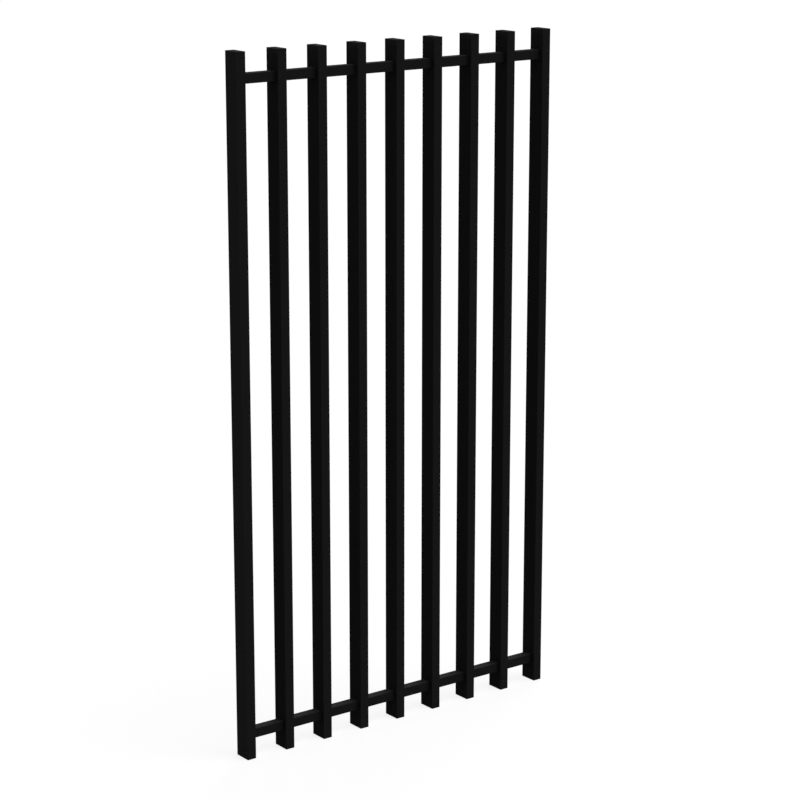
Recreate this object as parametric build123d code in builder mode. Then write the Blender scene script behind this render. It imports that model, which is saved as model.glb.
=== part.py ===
"""Open metal fence gate: hollow uprights standing on edge, threaded on two square rails.

X runs along the gate from the outer face of the left stile, Y through its depth with the
front towards -Y and zero at mid depth, and Z up from the foot.
"""
from build123d import *
import os

# Overall size of the leaf, millimetres
gate_width = 975.0
gate_height = 1800.0

# Uprights: rectangular tube with its narrow side to the front
picket_count = 7
upright_width = 25.0
upright_depth = 50.0
upright_wall = 2.0
upright_corner = 0.5

# Rails: square tube at mid depth, through the pickets and against the stiles
rail_depth = 25.0
rail_height = 25.0
rail_wall = 2.0
rail_corner = 0.5
foot_to_bottom_rail = 50.0
top_rail_to_top = 54.0
rail_hole_clearance = 0.25

# Flush caps pressed into both ends of every upright
cap_head = 3.0
cap_head_clearance = 0.15
cap_edge_break = 0.4
cap_skirt = 16.0
cap_skirt_wall = 1.5
cap_web = 1.5
cap_fin_count = 3
cap_fin_thickness = 1.2
cap_fin_reach = 0.9
cap_fin_clearance = 0.05

# Places worked out from the sizes above
pitch = (gate_width - upright_width) / (picket_count + 1)
bore_width = upright_width - 2 * upright_wall
bore_depth = upright_depth - 2 * upright_wall
bottom_rail_middle = foot_to_bottom_rail + rail_height / 2
top_rail_middle = gate_height - top_rail_to_top - rail_height / 2


def upright_middle(place):
    """Middle of an upright along X, counted from the left stile at place 0."""
    return upright_width / 2 + place * pitch


def write(piece, label):
    """Name a finished piece and save it under that name."""
    piece.part.label = label
    export_step(piece.part, f"parts/{label}.step")


def make_upright(label, place, rail_middles):
    """Tube on edge, punched through both side walls where a rail passes."""
    x = upright_middle(place)
    with BuildPart() as upright:
        with BuildSketch(Plane(origin=(x, 0, 0))):
            RectangleRounded(upright_width, upright_depth, upright_corner)
            Rectangle(bore_width, bore_depth, mode=Mode.SUBTRACT)
        extrude(amount=gate_height)
        for height in rail_middles:
            with BuildSketch(Plane(origin=(x, 0, height), x_dir=(0, 1, 0), z_dir=(1, 0, 0))):
                RectangleRounded(
                    rail_depth + 2 * rail_hole_clearance,
                    rail_height + 2 * rail_hole_clearance,
                    rail_corner + rail_hole_clearance,
                )
            extrude(amount=upright_width / 2, both=True, mode=Mode.SUBTRACT)
    write(upright, label)


def make_rail(label, middle):
    """Square tube from the inner face of one stile to the inner face of the other."""
    start = Plane(origin=(upright_width, 0, middle), x_dir=(0, 1, 0), z_dir=(1, 0, 0))
    with BuildPart() as rail:
        with BuildSketch(start):
            RectangleRounded(rail_depth, rail_height, rail_corner)
            Rectangle(rail_depth - 2 * rail_wall, rail_height - 2 * rail_wall, mode=Mode.SUBTRACT)
        extrude(amount=gate_width - 2 * upright_width)
    write(rail, label)


def make_cap(label, place, mouth, inward):
    """Cap with a flush head, fins that grip the bore and a skirt hollowed into two cells.

    mouth is the height of the tube's end, and inward is +1 or -1 along Z into the tube.
    """
    fin_width = bore_width - 2 * cap_fin_clearance
    fin_depth = bore_depth - 2 * cap_fin_clearance
    skirt_width = fin_width - 2 * cap_fin_reach
    skirt_depth = fin_depth - 2 * cap_fin_reach
    cell_depth = (skirt_depth - 2 * cap_skirt_wall - cap_web) / 2
    fin_step = cap_skirt / (cap_fin_count + 1)
    face = Plane(origin=(upright_middle(place), 0, mouth), x_dir=(1, 0, 0), z_dir=(0, 0, inward))
    neck = face.offset(cap_head)
    with BuildPart() as cap:
        with BuildSketch(face):
            Rectangle(bore_width - 2 * cap_head_clearance, bore_depth - 2 * cap_head_clearance)
        extrude(amount=cap_head)
        with BuildSketch(neck):
            Rectangle(skirt_width, skirt_depth)
        extrude(amount=cap_skirt)
        for fin in range(cap_fin_count):
            with BuildSketch(neck.offset((fin + 1) * fin_step)):
                Rectangle(fin_width, fin_depth)
            extrude(amount=cap_fin_thickness)
        with BuildSketch(neck):
            with GridLocations(0, cell_depth + cap_web, 1, 2):
                Rectangle(skirt_width - 2 * cap_skirt_wall, cell_depth)
        extrude(amount=cap_skirt, mode=Mode.SUBTRACT)
        outer_face = cap.faces().sort_by(Axis(face.origin, face.z_dir))[0]
        chamfer(outer_face.edges(), cap_edge_break)
    write(cap, label)


os.makedirs("parts", exist_ok=True)

# Two plain stiles, and the punched pickets evenly between them
last_place = picket_count + 1
rail_middles = [bottom_rail_middle, top_rail_middle]
uprights = {"left_stile": 0, "right_stile": last_place}
make_upright("left_stile", 0, [])
make_upright("right_stile", last_place, [])
for place in range(1, last_place):
    uprights[f"picket_{place}"] = place
    make_upright(f"picket_{place}", place, rail_middles)

make_rail("bottom_rail", bottom_rail_middle)
make_rail("top_rail", top_rail_middle)

for upright_name, place in uprights.items():
    make_cap(f"{upright_name}_top_cap", place, gate_height, -1)
    make_cap(f"{upright_name}_foot_cap", place, 0, 1)
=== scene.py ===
# %% [markdown]
# A black fence gate in powder coat.
# The real gate is one welded leaf. Rectangular tubes stand on edge, two square rails run
# through them from stile to stile, and a flush plastic cap closes every tube end. All of
# that is solid in the frame that is loaded here, at its real size. What is left for
# Blender is the paint, the plastic, the weld beads, the light and the view.

# %% Load the frame
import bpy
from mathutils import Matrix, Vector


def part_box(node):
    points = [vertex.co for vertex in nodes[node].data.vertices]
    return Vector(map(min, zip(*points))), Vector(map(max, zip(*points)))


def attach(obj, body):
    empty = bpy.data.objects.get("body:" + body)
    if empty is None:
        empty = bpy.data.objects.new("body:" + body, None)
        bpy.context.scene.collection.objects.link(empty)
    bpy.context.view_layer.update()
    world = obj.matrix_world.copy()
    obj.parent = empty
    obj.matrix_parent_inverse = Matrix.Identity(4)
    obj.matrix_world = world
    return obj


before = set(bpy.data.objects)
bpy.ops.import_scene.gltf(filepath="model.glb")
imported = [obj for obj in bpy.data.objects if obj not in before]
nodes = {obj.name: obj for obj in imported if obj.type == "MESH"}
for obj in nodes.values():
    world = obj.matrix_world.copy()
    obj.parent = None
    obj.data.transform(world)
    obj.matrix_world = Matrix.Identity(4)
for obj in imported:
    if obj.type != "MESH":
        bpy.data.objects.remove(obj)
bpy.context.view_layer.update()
print("pieces in the frame:", len(nodes))

# %% [markdown]
# Measuring before making.
# Every size below could be typed in again, but then the finish would stay behind if a
# tube changed. Here it is read from the frame. The names sort the pieces: caps and rails
# say what they are, and what is left are the uprights, which are put in order from left
# to right.

# %% Measure the gate
MM = 0.001
cap_names = sorted(name for name in nodes if name.endswith("_cap"))
rail_names = sorted(name for name in nodes if name.endswith("_rail"))
upright_names = [name for name in nodes if name not in cap_names + rail_names]
upright_names.sort(key=lambda name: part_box(name)[0].x)

stile_low, stile_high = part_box("left_stile")
HALF_WIDTH = (stile_high.x - stile_low.x) / 2
HALF_DEPTH = (stile_high.y - stile_low.y) / 2
GATE_HEIGHT = stile_high.z
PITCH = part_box("picket_1")[0].x - stile_low.x
RAIL_HALF = (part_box("top_rail")[1].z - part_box("top_rail")[0].z) / 2
RAIL_MIDDLES = {name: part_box(name)[0].z + RAIL_HALF for name in rail_names}
print("uprights", len(upright_names), "at a pitch of", round(PITCH / MM, 2), "mm")
print("rails at", {name: round(z / MM, 1) for name, z in RAIL_MIDDLES.items()}, "mm")

# %% [markdown]
# The view.
# The picture was taken from the front left and a little above, with a long lens, so the
# uprights stay almost parallel. A camera can be placed by its own position, but an aim
# point on the gate, two angles and a distance are easier to read and to correct.

# %% Camera
import math

import bpy
from mathutils import Vector

VIEW_AZIMUTH = math.radians(36.88)
VIEW_PITCH = math.radians(14.15)
VIEW_DISTANCE = 6.261
VIEW_LENS_MM = 108.57
AIM = Vector((0.5038, 0.0, 0.8677))

forward = Vector((
    math.sin(VIEW_AZIMUTH) * math.cos(VIEW_PITCH),
    math.cos(VIEW_AZIMUTH) * math.cos(VIEW_PITCH),
    -math.sin(VIEW_PITCH),
))
camera = bpy.data.objects.new("camera", bpy.data.cameras.new("camera"))
camera.data.lens = VIEW_LENS_MM
camera.location = AIM - forward * VIEW_DISTANCE
camera.rotation_euler = forward.to_track_quat("-Z", "Y").to_euler()
bpy.context.scene.collection.objects.link(camera)
bpy.context.scene.camera = camera
print("camera at", [round(value, 3) for value in camera.location], "m")

# %% [markdown]
# Writing shaders as sums.
# A material is a graph of nodes, and drawing a graph line by line in code hides what it
# means. This small class wraps one socket and gives it Python's operators, so that a mask
# can be written as 1 - wear * 0.5 and each operator adds one Math node. One method makes
# every other kind of node. The trial at the end shows what a short sum turns into.

# %% A socket with operators
class Wire:
    """A socket in a node tree, with operators that add Math nodes to that tree."""

    def __init__(self, tree, socket=None):
        self.tree = tree
        self.socket = socket

    def node(self, kind, settings=None, inputs=None, output=0):
        """Add a node: its settings first, then a value or a wire for each socket."""
        made = self.tree.nodes.new(kind)
        for name, value in (settings or {}).items():
            setattr(made, name, value)
        for name, value in (inputs or {}).items():
            if isinstance(value, Wire):
                self.tree.links.new(value.socket, made.inputs[name])
            else:
                made.inputs[name].default_value = value
        return Wire(self.tree, made.outputs[output])

    def into(self, socket):
        """Link this wire to a socket of a shader."""
        self.tree.links.new(self.socket, socket)

    def math(self, operation, first, second=0.0):
        """Add a Math node for one or two values."""
        return self.node("ShaderNodeMath", {"operation": operation}, {0: first, 1: second})

    def __add__(self, other):
        return self.math("ADD", self, other)

    def __radd__(self, other):
        return self.math("ADD", other, self)

    def __sub__(self, other):
        return self.math("SUBTRACT", self, other)

    def __rsub__(self, other):
        return self.math("SUBTRACT", other, self)

    def __mul__(self, other):
        return self.math("MULTIPLY", self, other)

    def __rmul__(self, other):
        return self.math("MULTIPLY", other, self)

    def __abs__(self):
        return self.math("ABSOLUTE", self)

    def least(self, other):
        """The smaller of two values."""
        return self.math("MINIMUM", self, other)

    def most(self, other):
        """The larger of two values."""
        return self.math("MAXIMUM", self, other)

    def fade(self, start, end):
        """0 at start and 1 at end, with a soft step between; start may be the larger."""
        limits = {"Value": self, "From Min": start, "From Max": end}
        return self.node("ShaderNodeMapRange", {"interpolation_type": "SMOOTHSTEP"}, limits)


trial = bpy.data.node_groups.new("trial", "ShaderNodeTree")
mask = 1 - Wire(trial).node("ShaderNodeValue") * 0.5
print("1 - wear * 0.5 makes", len(trial.nodes), "nodes and ends in", mask.socket.node.operation)
bpy.data.node_groups.remove(trial)

# %% [markdown]
# Light.
# The picture has plain studio light. The fronts are black and the tops of the rails dark
# grey, and each picket softly darkens the piece of rail to its left, so the strongest lamp
# is wide and stands high up at the front right. Area lamps could do this, but they weaken
# with distance. Suns are as strong at the far end of the floor as at the gate, so the
# white stays even, and the angle of a sun says how soft its shadows are. A weak sun from
# the left lights the outer side of the left stile, and one from the back right keeps the
# back of the gate readable.

# %% Lamps
SUNS = {
    "key_right": {"towards": (-0.21, 0.31, -0.93), "strength": 3.0, "angle": 35},
    "fill_left": {"towards": (1.0, 0.0, -0.12), "strength": 0.36, "angle": 8},
    "fill_back": {"towards": (-0.60, -0.45, -0.66), "strength": 1.55, "angle": 30},
}

for sun_name, sun in SUNS.items():
    lamp = bpy.data.lights.new(sun_name, "SUN")
    lamp.energy = sun["strength"]
    lamp.angle = math.radians(sun["angle"])
    lamp_object = bpy.data.objects.new(sun_name, lamp)
    lamp_object.rotation_euler = Vector(sun["towards"]).to_track_quat("-Z", "Y").to_euler()
    bpy.context.scene.collection.objects.link(lamp_object)
bpy.context.scene.view_settings.view_transform = "Standard"
print("lamps", sorted(SUNS))

# %% [markdown]
# Sky.
# An even sky fills in what the suns leave dark. One strength can't serve it: as bright as
# the white behind the gate in the picture, it would turn black paint grey. So the rays are
# told apart. Those of the camera and of reflections meet full white, and all others a
# weaker sky.

# %% World
WHITE = (1, 1, 1, 1)
WORLD_FILL = 0.40


def seen_or_lighting(start, lighting, seen):
    """Mix of two shaders: one is seen directly or in gloss and glass, one gives light."""
    rays = [start.node("ShaderNodeLightPath", output=name)
            for name in ("Is Camera Ray", "Is Glossy Ray", "Is Transmission Ray")]
    direct = rays[0].most(rays[1]).most(rays[2])
    return start.node("ShaderNodeMixShader", inputs={0: direct, 1: lighting, 2: seen})


world = bpy.data.worlds.new("studio")
world.use_nodes = True
bpy.context.scene.world = world
world_start = Wire(world.node_tree)
fill = world_start.node("ShaderNodeBackground", inputs={"Color": WHITE, "Strength": WORLD_FILL})
white = world_start.node("ShaderNodeBackground", inputs={"Color": WHITE, "Strength": 1.0})
sky = seen_or_lighting(world_start, fill, white)
sky.into(world.node_tree.nodes["World Output"].inputs["Surface"])
print("sky", WORLD_FILL, "as light and white to the camera")

# %% [markdown]
# Floor.
# The gate stands on plain white. A floor that is really white would throw so much light
# back that black paint turns grey. So this floor glows white only to the camera and to
# reflections, and is dark to all other light. The dark part is still lit by the lamps,
# and where the gate keeps them off, the white dims a little: that is its shadow.

# %% Floor
FLOOR_REACH = 150.0
FLOOR_DROP = 0.5 * MM
FLOOR_SHADE = (0.10, 0.10, 0.10, 1)
FLOOR_GLOW = 0.855

floor_mesh = bpy.data.meshes.new("floor")
corners = [(-1, -1), (1, -1), (1, 1), (-1, 1)]
floor_points = [(x * FLOOR_REACH, y * FLOOR_REACH, -FLOOR_DROP) for x, y in corners]
floor_mesh.from_pydata(floor_points, [], [(0, 1, 2, 3)])
floor = bpy.data.objects.new("floor", floor_mesh)
bpy.context.scene.collection.objects.link(floor)

floor_paint = bpy.data.materials.new("floor_white")
floor_paint.use_nodes = True
floor_start = Wire(floor_paint.node_tree)
shade = floor_start.node("ShaderNodeBsdfDiffuse", inputs={"Color": FLOOR_SHADE})
glow = floor_start.node("ShaderNodeEmission", inputs={"Color": WHITE, "Strength": FLOOR_GLOW})
lit = floor_start.node("ShaderNodeAddShader", inputs={0: shade, 1: glow})
floor_look = seen_or_lighting(floor_start, shade, lit)
floor_look.into(floor_paint.node_tree.nodes["Material Output"].inputs["Surface"])
floor.data.materials.append(floor_paint)
print("floor", 2 * FLOOR_REACH, "m square")

# %% [markdown]
# Tools for finishes.
# Paint and plastic change from place to place, at several sizes. Pictures wrapped round
# the tubes could show that, but they blur up close. Noise that is worked out at each point
# stays sharp, and its size is given in metres, so that a pebble of the paint is as large
# on a rail as on a stile. The same few nodes come back in each finish, so they are
# functions. A Mix node shows other sockets for colours than for numbers, and the first
# line says where those for colours are.

# %% Noise, mixes and relief
MIX_FACTOR, MIX_A, MIX_B, MIX_RESULT = 0, 6, 7, 2


def noise(start, place, size, detail=2.0):
    """Noise with bumps of about the given size, from 0 to 1."""
    inputs = {"Vector": place, "Scale": 1 / size, "Detail": detail, "Roughness": 0.5}
    return start.node("ShaderNodeTexNoise", inputs=inputs)


def blend_colours(start, factor, first, second):
    """A colour between two others."""
    inputs = {MIX_FACTOR: factor, MIX_A: first, MIX_B: second}
    return start.node("ShaderNodeMix", {"data_type": "RGBA"}, inputs, MIX_RESULT)


def relief(start, height):
    """Bump from a height in metres."""
    inputs = {"Strength": 1.0, "Distance": 1.0, "Height": height}
    return start.node("ShaderNodeBump", inputs=inputs)


def axes_of(start, place):
    """The X, Y and Z of a place or a direction as three wires."""
    split = start.node("ShaderNodeSeparateXYZ", inputs={"Vector": place}).socket.node
    return [Wire(start.tree, axis) for axis in split.outputs]


def dress(names, material):
    """Give each named piece of the frame this material alone."""
    for name in names:
        nodes[name].data.materials.clear()
        nodes[name].data.materials.append(material)
    print(material.name, "on", len(names), "pieces")


print("tools", [tool.__name__ for tool in (noise, blend_colours, relief, axes_of, dress)])

# %% [markdown]
# Dust and painted top light.
# Black shows dust first. A thin grey film lies on whatever faces up, so the tops of the
# rails and caps are greyer than the sides. It is dust, and painted light from above as
# well. It could be a second material on those faces, with a hard border. The surface
# normal tells for every point which way it looks, so the film fades out over the rounded
# edges, and a patchy noise keeps it from looking like a coat of its own.

# %% Dust film and painted top light
# The grey is dust and painted top light: it makes faces that look up lighter, as light from
# above would.
DUST_AND_TOP_LIGHT_GREY = (0.0205, 0.0202, 0.0196, 1)
DUST_AND_LIGHT_STARTS, DUST_AND_LIGHT_FULL = 0.5, 0.95
DUST_AND_LIGHT_LEAST, DUST_AND_LIGHT_PATCHES = 0.05, 0.40
PATCH_SIZE, PATCH_DETAIL = 6 * MM, 4.0
PATCH_LOW, PATCH_HIGH = 0.35, 0.65


def dust_and_top_light_mask(start, place):
    """Share of a surface under dust and painted top light: patches on faces that look up, none
    elsewhere.
    """
    facing = start.node("ShaderNodeNewGeometry", output="Normal")
    upward = axes_of(start, facing)[2].fade(DUST_AND_LIGHT_STARTS, DUST_AND_LIGHT_FULL)
    patches = noise(start, place, PATCH_SIZE, PATCH_DETAIL).fade(PATCH_LOW, PATCH_HIGH)
    return upward * (DUST_AND_LIGHT_LEAST + DUST_AND_LIGHT_PATCHES * patches)


# Shows where the grey of dust and painted top light begins.
print("dust lies where the normal points up by", DUST_AND_LIGHT_STARTS, "or more")

# %% [markdown]
# Edges.
# Paint draws back from a sharp edge while it melts, and hands and tools rub it there
# first. Blender can find edges by the pointiness of a mesh, but that depends on how the
# mesh is cut. The tubes are plain boxes of known size, so the way from any point to the
# nearest edge is a short sum. The uprights repeat along X, and a ping-pong of half the
# pitch folds them all onto one.

# %% Way to the nearest edge
def upright_edges(start, place):
    """Way to the nearest long edge of an upright, or to the rim of its ends."""
    x, y, z = axes_of(start, place)
    across = HALF_WIDTH - start.math("PINGPONG", x - HALF_WIDTH, PITCH / 2)
    through = HALF_DEPTH - abs(y)
    along = z.least(GATE_HEIGHT - z)
    return across.most(through).least(along.most(across.least(through)))


def rail_edges(start, place):
    """Way to the nearest long edge of a rail."""
    _, y, z = axes_of(start, place)
    heights = [abs(z - middle) for middle in RAIL_MIDDLES.values()]
    return (RAIL_HALF - abs(y)).most(RAIL_HALF - heights[0].least(heights[1]))


print("uprights", round(2 * HALF_WIDTH / MM, 1), "by", round(2 * HALF_DEPTH / MM, 1), "mm")
print("rails", round(2 * RAIL_HALF / MM, 1), "mm square")

# %% [markdown]
# Black powder coat.
# The coat is sprayed as dry powder and melted in an oven. It never levels out fully: up
# close it has a fine pebble, over a wider and shallower orange peel, and it dulls a
# little from place to place. One flat black would lose all of that. Three sizes of noise
# give the pebble, the peel and the drift. The pebble is in the colour as well as in the
# relief: the hollows between the pebbles are painted darker and their tops lighter, as
# painted shade and painted highlight.

# %% Powder coat
NOISE_MIDDLE = 0.5
PEBBLE_SIZE, PEBBLE_HEIGHT = 0.7 * MM, 0.012 * MM
PEBBLE_LOW, PEBBLE_HIGH = 0.36, 0.64
PEEL_SIZE, PEEL_HEIGHT = 5 * MM, 0.030 * MM
PEEL_LOW, PEEL_HIGH = 0.35, 0.7
DRIFT_SIZE, DRIFT_DETAIL, DRIFT_SHARE = 180 * MM, 3.0, 0.15
WEAR_STARTS, WEAR_FULL, WEAR_SHARE = 1.2 * MM, 0.2 * MM, 0.6
# COAT_HOLLOW_SHADE and COAT_RAISED_HIGHLIGHT are the painted shade and the painted highlight of
# the pebble.
COAT_HOLLOW_SHADE = (0.0090, 0.0090, 0.0092, 1)
COAT_RAISED_HIGHLIGHT = (0.0158, 0.0158, 0.0161, 1)
COAT_WORN = (0.024, 0.024, 0.0244, 1)
COAT_SPECULAR = 0.010
COAT_ROUGHNESS = 0.75
DRIFT_DULLS, PEBBLE_DULLS, DUST_DULLS, WEAR_SHINES = 0.12, 0.10, 0.20, 0.12


def powder_coat(name, edge_distance):
    """Black powder coat; edge_distance gives the way to the nearest sharp edge."""
    material = bpy.data.materials.new(name)
    material.use_nodes = True
    shader = material.node_tree.nodes["Principled BSDF"]
    start = Wire(material.node_tree)
    place = start.node("ShaderNodeTexCoord", output="Object")
    pebble = noise(start, place, PEBBLE_SIZE)
    peel = noise(start, place, PEEL_SIZE)
    drift = noise(start, place, DRIFT_SIZE, DRIFT_DETAIL) - NOISE_MIDDLE
    near_edge = edge_distance(start, place).fade(WEAR_STARTS, WEAR_FULL)
    wear = near_edge * peel.fade(PEEL_LOW, PEEL_HIGH)
    dust_and_top_light = dust_and_top_light_mask(start, place)
    # Painted shade and highlight of the pebble, plus the random tone of the drift.
    pebble_light_and_drift = pebble.fade(PEBBLE_LOW, PEBBLE_HIGH) + drift * DRIFT_SHARE
    shaded_paint = blend_colours(start, pebble_light_and_drift, COAT_HOLLOW_SHADE, COAT_RAISED_HIGHLIGHT)
    rubbed = blend_colours(start, wear * WEAR_SHARE, shaded_paint, COAT_WORN)
    # Last comes the grey of dust and painted top light on faces that look up.
    blend_colours(start, dust_and_top_light, rubbed, DUST_AND_TOP_LIGHT_GREY).into(shader.inputs["Base Color"])
    uneven = drift * DRIFT_DULLS + (pebble - NOISE_MIDDLE) * PEBBLE_DULLS
    dulled = COAT_ROUGHNESS + uneven + dust_and_top_light * DUST_DULLS - wear * WEAR_SHINES
    dulled.into(shader.inputs["Roughness"])
    relief(start, pebble * PEBBLE_HEIGHT + peel * PEEL_HEIGHT).into(shader.inputs["Normal"])
    shader.inputs["Specular IOR Level"].default_value = COAT_SPECULAR
    return material


upright_coat = powder_coat("upright_powder_coat", upright_edges)
rail_coat = powder_coat("rail_powder_coat", rail_edges)
dress(upright_names, upright_coat)
dress(rail_names, rail_coat)

# %% [markdown]
# Cap plastic.
# The caps are moulded in black plastic with a spark-eroded grain, which is finer and more
# even than the paint, and duller. They could wear the paint too, and only the seam round
# them would tell that they are pressed in. A finish of their own shows it better. The
# grain is in the colour as well as in the relief, as painted shade and painted highlight.

# %% Cap plastic
GRAIN_SIZE, GRAIN_HEIGHT = 0.45 * MM, 0.016 * MM
GRAIN_LOW, GRAIN_HIGH = 0.36, 0.64
FLOW_SIZE, FLOW_DETAIL, FLOW_SHARE, FLOW_DULLS = 9 * MM, 3.0, 0.3, 0.1
# CAP_SHADED_BLACK and CAP_LIT_GREY are the painted shade and the painted highlight of the
# grain.
CAP_SHADED_BLACK = (0.0080, 0.0080, 0.0080, 1)
CAP_LIT_GREY = (0.0190, 0.0190, 0.0190, 1)
CAP_SPECULAR = 0.003
CAP_ROUGHNESS = 0.86

cap_plastic = bpy.data.materials.new("cap_plastic")
cap_plastic.use_nodes = True
cap_shader = cap_plastic.node_tree.nodes["Principled BSDF"]
cap_start = Wire(cap_plastic.node_tree)
cap_place = cap_start.node("ShaderNodeTexCoord", output="Object")
grain = noise(cap_start, cap_place, GRAIN_SIZE)
flow = noise(cap_start, cap_place, FLOW_SIZE, FLOW_DETAIL)
# Painted shade and highlight of the grain, plus the random tone of the flow.
grain_light_and_flow = grain.fade(GRAIN_LOW, GRAIN_HIGH) * (1 - FLOW_SHARE) + flow * FLOW_SHARE
grain_shaded_plastic = blend_colours(cap_start, grain_light_and_flow, CAP_SHADED_BLACK, CAP_LIT_GREY)
# Grey of dust and painted top light on the caps' upper faces.
cap_dust_and_top_light = dust_and_top_light_mask(cap_start, cap_place)
blend_colours(cap_start, cap_dust_and_top_light, grain_shaded_plastic, DUST_AND_TOP_LIGHT_GREY).into(cap_shader.inputs["Base Color"])
cap_dulled = CAP_ROUGHNESS + (flow - NOISE_MIDDLE) * FLOW_DULLS
cap_dulled.into(cap_shader.inputs["Roughness"])
relief(cap_start, grain * GRAIN_HEIGHT).into(cap_shader.inputs["Normal"])
cap_shader.inputs["Specular IOR Level"].default_value = CAP_SPECULAR
dress(cap_names, cap_plastic)

# %% [markdown]
# Where a weld runs.
# Short welds hold a rail on both sides of each picket, and at each stile. The welder puts
# them under the rail and up its back, where nobody looks, and leaves the front and the top
# clean. The route could be a Bezier curve with three points. A function of the distance
# is as short, and it also gives the way out of the rail's skin, which the bead needs.

# %% Route of a bead
RAIL_CORNER = 0.5 * MM
UNDER_RUN = 13 * MM
BACK_RUN = 20 * MM
CORNER_RUN = RAIL_CORNER * math.pi / 2
WELD_RUN = UNDER_RUN + CORNER_RUN + BACK_RUN


def on_rail_skin(distance):
    """Point on a rail's skin at a distance along the weld, and the way out of the skin.

    Both are (Y, Z) pairs from the rail's middle. The weld starts below the rail, goes
    round its lower back corner and ends part of the way up its back.
    """
    turn_y = RAIL_HALF - RAIL_CORNER
    turn = min(max((distance - UNDER_RUN) / RAIL_CORNER, 0), math.pi / 2)
    before = min(distance - UNDER_RUN, 0)
    after = max(distance - UNDER_RUN - CORNER_RUN, 0)
    out = (math.sin(turn), -math.cos(turn))
    point = (turn_y + RAIL_CORNER * out[0] + before, -turn_y + RAIL_CORNER * out[1] + after)
    return point, out


for share in (0, 0.5, 1):
    weld_point, _ = on_rail_skin(share * WELD_RUN)
    print("weld at", share, [round(value / MM, 1) for value in weld_point], "mm")

# %% [markdown]
# The section of a bead.
# A bead is a row of small puddles, each frozen on the one before. A plain swept tube has
# no puddles, and bump alone would leave its outline smooth. Here the section is worked
# out anew at each step: it swells and thins with each ripple, the ripples bow like
# stacked coins, and both ends taper off. The root is sunk in the metal, so that no slit
# shows beside it.

# %% Section of a bead
WELD_LEG = 2.4 * MM
WELD_SINK = 0.3 * MM
WELD_CROWN = 0.18
RIPPLE = 1.5 * MM
RIPPLE_SWELL = 0.16
RIPPLE_CURVE = 0.35
END_TAPER = 2.0 * MM
END_SHARE = 0.3
FACE_STEPS = 8


def bead_section(distance, length, leg, swells):
    """Points (out, side) round a bead, from its toe on the upright to its toe on the rail."""
    to_end = max(min(distance, length - distance, END_TAPER), 0) / END_TAPER
    taper = END_SHARE + (1 - END_SHARE) * math.sqrt(1 - (1 - to_end) ** 2)
    reach = leg * taper
    points = []
    for step in range(FACE_STEPS + 1):
        share = step / FACE_STEPS
        bulge = math.sin(math.pi * share)
        phase = distance / RIPPLE + RIPPLE_CURVE * bulge
        swell = RIPPLE_SWELL * swells[int(phase)] * abs(math.sin(math.pi * phase)) * bulge
        crown = WELD_CROWN * bulge + swell
        points.append(((1 - share + crown) * reach, (share + crown) * reach))
    points[0] = (points[0][0], -WELD_SINK)
    points[-1] = (-WELD_SINK, points[-1][1])
    return points + [(-WELD_SINK, -WELD_SINK)]


print("a bead's section has", len(bead_section(0, WELD_RUN, WELD_LEG, [1, 1])), "points")

# %% [markdown]
# One bead.
# No two beads are alike: the hand starts and stops a little early or late, and moves
# faster or slower. One bead could be copied to every joint, but the eye finds the copies.
# So dice give each bead its own size, length and ripples, and its sections are joined
# ring by ring to a tube with closed ends.

# %% One bead
LEG_LEAST, LEG_MOST = 0.92, 1.08
LATEST_START, EARLIEST_STOP = 2 * MM, 3 * MM
SWELL_LEAST, SWELL_MOST = 0.6, 1.2
RIPPLE_STEPS = 5


def add_bead(form, face_x, side, middle, dice):
    """Add one closed bead to a bmesh, on the face of an upright that looks towards side."""
    leg = WELD_LEG * dice.uniform(LEG_LEAST, LEG_MOST)
    start = dice.uniform(0, LATEST_START)
    length = WELD_RUN - start - dice.uniform(0, EARLIEST_STOP)
    swells = [dice.uniform(SWELL_LEAST, SWELL_MOST) for _ in range(int(length / RIPPLE) + 2)]
    count = int(length / RIPPLE * RIPPLE_STEPS)
    rings = []
    for step in range(count + 1):
        distance = length * step / count
        (y, z), (out_y, out_z) = on_rail_skin(start + distance)
        ring = []
        for out, away in bead_section(distance, length, leg, swells):
            spot = (face_x + side * away, y + out * out_y, middle + z + out * out_z)
            ring.append(form.verts.new(spot))
        rings.append(ring)
    for ring, following in zip(rings, rings[1:]):
        for corner in range(len(ring)):
            behind = corner - 1
            form.faces.new((ring[behind], ring[corner], following[corner], following[behind]))
    form.faces.new(rings[0])
    form.faces.new(rings[-1])


shortest_bead = WELD_RUN - LATEST_START - EARLIEST_STOP
print("beads from", round(shortest_bead / MM, 1), "to", round(WELD_RUN / MM, 1), "mm long")

# %% [markdown]
# The beads of a rail.
# Each bead could be an object of its own, but dozens of small objects are hard to handle,
# and nobody moves one alone. So the beads of a rail are one mesh. They wear the rail's
# paint, because the leaf is coated after welding. The dice of each rail have a fixed
# seed, so every run gives the same beads.

# %% Weld beads
import random

import bmesh


def weld_rail(rail_name, seed):
    """All beads of one rail, joined in one piece."""
    dice = random.Random(seed)
    form = bmesh.new()
    for upright_name in upright_names:
        low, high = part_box(upright_name)
        if upright_name != upright_names[0]:
            add_bead(form, low.x, -1, RAIL_MIDDLES[rail_name], dice)
        if upright_name != upright_names[-1]:
            add_bead(form, high.x, 1, RAIL_MIDDLES[rail_name], dice)
    bmesh.ops.recalc_face_normals(form, faces=form.faces)
    mesh = bpy.data.meshes.new(f"{rail_name}_welds")
    form.to_mesh(mesh)
    form.free()
    mesh.shade_smooth()
    mesh.materials.append(rail_coat)
    welds = bpy.data.objects.new(f"{rail_name}_welds", mesh)
    bpy.context.scene.collection.objects.link(welds)
    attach(welds, "root")
    print(welds.name, len(mesh.polygons), "faces")


for seed, rail_name in enumerate(rail_names):
    weld_rail(rail_name, seed)
